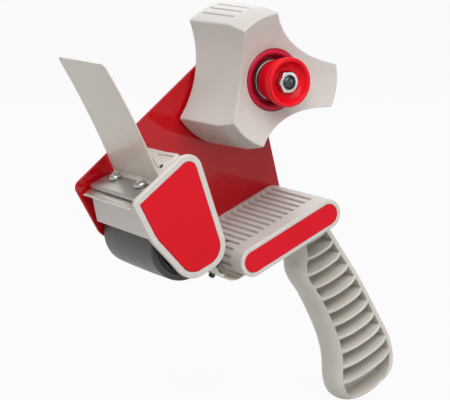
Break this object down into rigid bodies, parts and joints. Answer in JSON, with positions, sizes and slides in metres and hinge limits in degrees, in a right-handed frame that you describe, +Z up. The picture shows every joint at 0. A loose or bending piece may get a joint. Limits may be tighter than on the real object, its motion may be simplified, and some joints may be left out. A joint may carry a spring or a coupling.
{
  "type": "packing tape dispenser",
  "caption": "Hand-held tape gun: side plate with a braked three-lobed core hub, nose roller under a serrated cutter and film wiper, grooved tape guide with retainer, and a ribbed oval handle.",
  "frame": {"origin": "On the ground plane under the middle of the dispenser's box, as the tool is held ready: nose forward and low, handle hanging down and rearward.", "axes": "+Z is up. +X runs rearward, from the roller to the handle. +Y runs along the hub's axis from the open loading side to the side plate."},
  "size_m": [0.1856, 0.0644, 0.2174],
  "materials": {
    "grey_moulding": "light warm grey ABS, satin moulded surface",
    "red_paint": "gloss red baked enamel on sheet steel",
    "red_inset": "red plastic insert, smooth and a little dulled",
    "red_knob": "bright red polished moulding",
    "bright_steel": "bright zinc or nickel plate on steel",
    "satin_steel": "satin rolled steel strip",
    "black_rubber": "ground synthetic rubber tyre",
    "black_plastic": "black moulded plastic and black coated wire",
    "clear_film": "translucent milky plastic film",
    "fibre_washer": "red-brown hard fibre friction washer"
  },
  "bodies": {
    "frame": {"side_frame": "red_paint", "frame_screw_1": "bright_steel", "frame_screw_2": "bright_steel", "frame_screw_3": "bright_steel", "frame_screw_4": "bright_steel", "guide_body": "grey_moulding", "guide_inset": "red_inset", "handle_grip": "grey_moulding", "grip_screw_1": "bright_steel", "grip_screw_2": "bright_steel", "nose_housing": "grey_moulding", "nose_inset": "red_inset", "cutter_blade": "satin_steel", "blade_clamp": "satin_steel", "clamp_screw_1": "bright_steel", "clamp_screw_2": "bright_steel", "wiper_foot": "clear_film", "roller_axle": "bright_steel", "axle_spacer": "bright_steel", "axle_nut": "bright_steel", "hub_bolt": "bright_steel", "hub_lock_nut": "bright_steel", "friction_washer": "fibre_washer", "tongue_foot": "clear_film", "tongue_rivet_1": "bright_steel", "tongue_rivet_2": "bright_steel"},
    "hub": {"core_hub": "grey_moulding", "brake_cup": "red_knob", "cup_washer": "bright_steel", "brake_spring": "bright_steel"},
    "pressure": {"knob_washer": "bright_steel"},
    "knob": {"brake_knob": "red_knob", "knob_nut": "bright_steel"},
    "roller": {"roller_tyre": "black_rubber", "roller_core": "black_plastic"},
    "wiper": {"wiper_flap": "clear_film"},
    "finger": {"retainer_finger": "black_plastic"},
    "tongue": {"tape_tongue": "clear_film"}
  },
  "joints": [
    {"name": "hub_spin", "type": "hinge", "parent": "frame", "child": "hub", "pos_m": [0.00697, -0.0012, 0.17968], "axis": [0, 1, 0], "continuous": true},
    {"name": "pressure_travel", "type": "slide", "parent": "frame", "child": "pressure", "axis": [0, 1, 0], "range_m": [-0.001, 0.002], "deforming": ["brake_spring"]},
    {"name": "knob_turn", "type": "hinge", "parent": "pressure", "child": "knob", "pos_m": [0.00697, -0.0012, 0.17968], "axis": [0, 1, 0], "range_deg": [-360, 720]},
    {"name": "roller_spin", "type": "hinge", "parent": "frame", "child": "roller", "pos_m": [-0.05087, -0.0012, 0.10353], "axis": [0, 1, 0], "continuous": true},
    {"name": "wiper_flex", "type": "hinge", "parent": "frame", "child": "wiper", "pos_m": [-0.06271, -0.0012, 0.13577], "axis": [0, 1, 0], "range_deg": [-25, 25], "stiffness_Nm_per_rad": 0.3},
    {"name": "finger_swing", "type": "hinge", "parent": "frame", "child": "finger", "pos_m": [-0.01407, -0.0052, 0.09362], "axis": [0, 1, 0], "range_deg": [-12, 12], "stiffness_Nm_per_rad": 0.02},
    {"name": "tongue_flex", "type": "hinge", "parent": "frame", "child": "tongue", "pos_m": [-0.01282, -0.0012, 0.08095], "axis": [0, 1, 0], "range_deg": [-10, 10], "stiffness_Nm_per_rad": 0.1}
  ],
  "couplings": [
    {"joint": "knob_turn", "follows": "pressure_travel", "rad_per_m": 6283.2}
  ]
}
